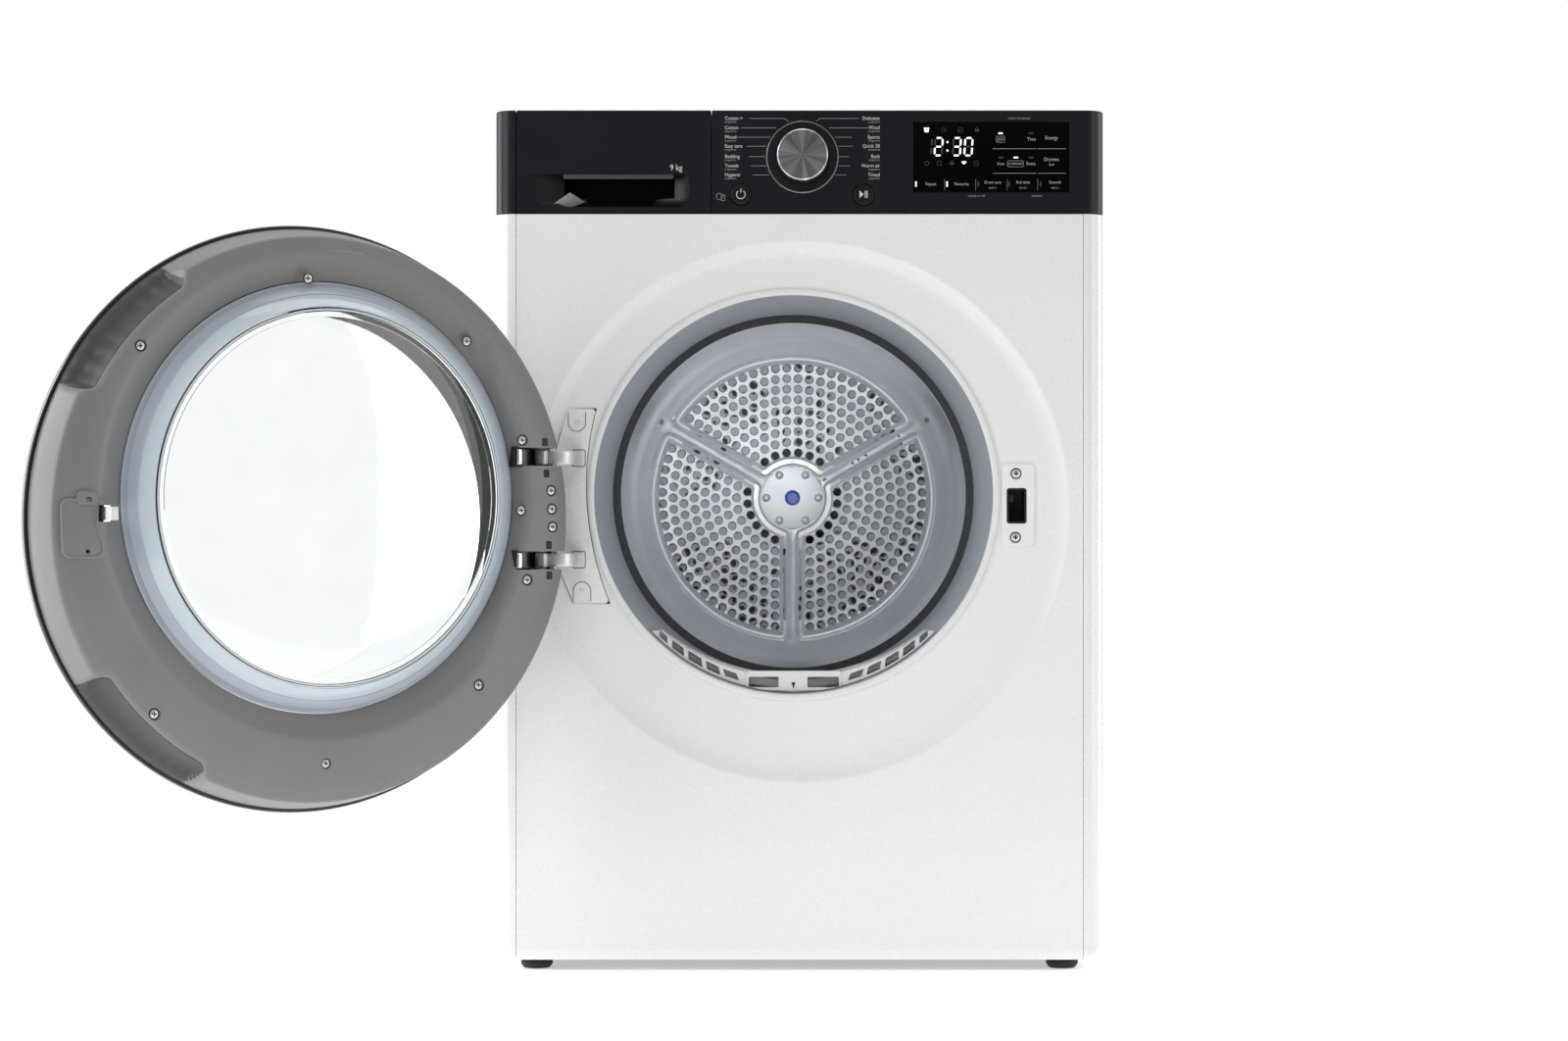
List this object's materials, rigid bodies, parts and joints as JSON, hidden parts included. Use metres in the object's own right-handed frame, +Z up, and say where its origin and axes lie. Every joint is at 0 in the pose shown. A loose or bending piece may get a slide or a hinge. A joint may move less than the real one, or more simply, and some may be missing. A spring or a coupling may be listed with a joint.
{
  "type": "clothes dryer",
  "caption": "Front-loading heat-pump clothes dryer in a white cabinet with a black control band and a round glass door that swings open to the left.",
  "frame": {"origin": "middle of the base tray's underside, under the middle of the 600 by 640 mm cabinet and 12 mm above the floor that the feet stand on", "axes": "+X to the right as seen from the front, +Y from the front of the machine to its back, +Z up"},
  "size_m": [1.0041, 0.9745, 0.85],
  "materials": {
    "white_enamel": "gloss white stove enamel on pressed sheet",
    "black_panel": "satin black moulded fascia",
    "black_plastic": "fine grained black plastic",
    "base_plastic": "dark grey moulded polypropylene",
    "tank_plastic": "cool grey moulded plastic",
    "grey_liner": "satin mid grey plastic",
    "pale_ring": "pale blue grey ring, soft gloss",
    "door_glass": "clear pressed glass",
    "dark_glass": "gloss black window",
    "drum_steel": "rolled stainless sheet",
    "galvanised_steel": "galvanised sheet",
    "chrome": "polished",
    "dial_metal": "spun aluminium with a bright rim",
    "felt": "dense dark felt",
    "rubber": "matt rubber",
    "white_plastic": "white moulded plastic",
    "copper": "bare copper tube",
    "circuit_board": "green coated laminate",
    "white_board": "white laminated particle board",
    "black_paint": "black painted steel shell",
    "fin_stack": "bare aluminium fins"
  },
  "bodies": {
    "cabinet": {"base_tray": "base_plastic", "left_side_panel": "white_enamel", "right_side_panel": "white_enamel", "rear_panel": "white_enamel", "top_cover": "white_board", "front_panel": "white_enamel", "control_panel": "black_panel", "corner_trim_left": "black_panel", "display_window": "dark_glass", "control_board": "circuit_board", "tank_guide": "base_plastic", "front_bulkhead": "tank_plastic", "drum_seal": "felt", "rear_air_duct": "galvanised_steel", "bearing_housing": "galvanised_steel", "filter_grille": "white_plastic", "hinge_bracket": "galvanised_steel", "hinge_arm_upper": "chrome", "hinge_arm_lower": "chrome", "latch_socket": "black_plastic", "compressor": "black_paint", "evaporator": "fin_stack", "condenser": "fin_stack", "refrigerant_pipe": "copper", "motor_housing": "galvanised_steel", "blower_housing": "base_plastic", "condensate_pump": "base_plastic", "drive_belt": "rubber", "mains_inlet": "black_plastic"},
    "door": {"door_outer_ring": "black_panel", "door_window": "door_glass", "door_liner": "grey_liner", "glass_retaining_ring": "pale_ring", "glass_gasket": "rubber", "glass_bowl": "door_glass", "hinge_leaf_upper": "chrome", "hinge_leaf_lower": "chrome"},
    "latch": {"latch_hook": "white_plastic"},
    "drum": {"drum_shell": "drum_steel", "drum_rear_panel": "drum_steel", "drum_shaft": "galvanised_steel", "drum_lifter_1": "white_plastic", "drum_lifter_2": "white_plastic", "drum_lifter_3": "white_plastic"},
    "motor_shaft": {"motor_rotor": "chrome", "blower_wheel": "base_plastic"},
    "tensioner": {"tensioner_arm": "galvanised_steel"},
    "idler": {"idler_pulley": "base_plastic"},
    "roller_left": {"drum_roller_left": "rubber"},
    "roller_right": {"drum_roller_right": "rubber"},
    "dial_knob": {"dial": "dial_metal"},
    "power_key": {"power_button": "black_panel"},
    "start_key": {"start_button": "black_panel"},
    "tank_drawer": {"tank_drawer_front": "black_panel", "water_tank": "tank_plastic"},
    "filter_cassette": {"lint_filter": "white_plastic"},
    "foot_fl": {"foot_front_left": "rubber"},
    "foot_fr": {"foot_front_right": "rubber"},
    "foot_rl": {"foot_rear_left": "rubber"},
    "foot_rr": {"foot_rear_right": "rubber"}
  },
  "joints": [
    {"name": "door_hinge", "type": "hinge", "parent": "cabinet", "child": "door", "pos_m": [-0.252, -0.35, 0.445], "axis": [0, 0, 1], "range_deg": [0, 147]},
    {"name": "latch_pivot", "type": "hinge", "parent": "door", "child": "latch", "pos_m": [-0.6274, -0.62479, 0.44], "axis": [0, 0, 1], "range_deg": [0, 6], "stiffness_Nm_per_rad": 0.5},
    {"name": "drum_spin", "type": "hinge", "parent": "cabinet", "child": "drum", "pos_m": [-0.006, -0.32, 0.459], "axis": [0, 1, 0], "continuous": true},
    {"name": "motor_spin", "type": "hinge", "parent": "cabinet", "child": "motor_shaft", "pos_m": [0.165, -0.32, 0.1], "axis": [0, 1, 0], "continuous": true},
    {"name": "tensioner_pivot", "type": "hinge", "parent": "cabinet", "child": "tensioner", "pos_m": [0.06, -0.32, 0.06], "axis": [0, 1, 0], "range_deg": [0, 10], "stiffness_Nm_per_rad": 8, "springref_deg": -5.73},
    {"name": "idler_spin", "type": "hinge", "parent": "tensioner", "child": "idler", "pos_m": [0.105, -0.32, 0.113], "axis": [0, 1, 0], "continuous": true},
    {"name": "roller_left_spin", "type": "hinge", "parent": "cabinet", "child": "roller_left", "pos_m": [-0.20449, -0.32, 0.22245], "axis": [0, 1, 0], "continuous": true},
    {"name": "roller_right_spin", "type": "hinge", "parent": "cabinet", "child": "roller_right", "pos_m": [0.19249, -0.32, 0.22245], "axis": [0, 1, 0], "continuous": true},
    {"name": "dial_turn", "type": "hinge", "parent": "cabinet", "child": "dial_knob", "pos_m": [0.0027, -0.32, 0.7914], "axis": [0, 1, 0], "continuous": true},
    {"name": "power_press", "type": "slide", "parent": "cabinet", "child": "power_key", "axis": [0, 1, 0], "range_m": [0, 0.0015], "stiffness_N_per_m": 800},
    {"name": "start_press", "type": "slide", "parent": "cabinet", "child": "start_key", "axis": [0, 1, 0], "range_m": [0, 0.0015], "stiffness_N_per_m": 800},
    {"name": "tank_drawer_slide", "type": "slide", "parent": "cabinet", "child": "tank_drawer", "axis": [0, -1, 0], "range_m": [0, 0.4]},
    {"name": "filter_lift", "type": "slide", "parent": "cabinet", "child": "filter_cassette", "axis": [0, 0, 1], "range_m": [0, 0.14]},
    {"name": "foot_fl_turn", "type": "hinge", "parent": "cabinet", "child": "foot_fl", "pos_m": [-0.262, -0.268, 0], "axis": [0, 0, 1], "continuous": true},
    {"name": "foot_fr_turn", "type": "hinge", "parent": "cabinet", "child": "foot_fr", "pos_m": [0.262, -0.268, 0], "axis": [0, 0, 1], "continuous": true},
    {"name": "foot_rl_turn", "type": "hinge", "parent": "cabinet", "child": "foot_rl", "pos_m": [-0.262, 0.268, 0], "axis": [0, 0, 1], "continuous": true},
    {"name": "foot_rr_turn", "type": "hinge", "parent": "cabinet", "child": "foot_rr", "pos_m": [0.262, 0.268, 0], "axis": [0, 0, 1], "continuous": true}
  ],
  "couplings": [
    {"joint": "motor_spin", "follows": "drum_spin", "ratio": 27.8},
    {"joint": "idler_spin", "follows": "drum_spin", "ratio": -19.857},
    {"joint": "roller_left_spin", "follows": "drum_spin", "ratio": -9.2667},
    {"joint": "roller_right_spin", "follows": "drum_spin", "ratio": -9.2667}
  ]
}
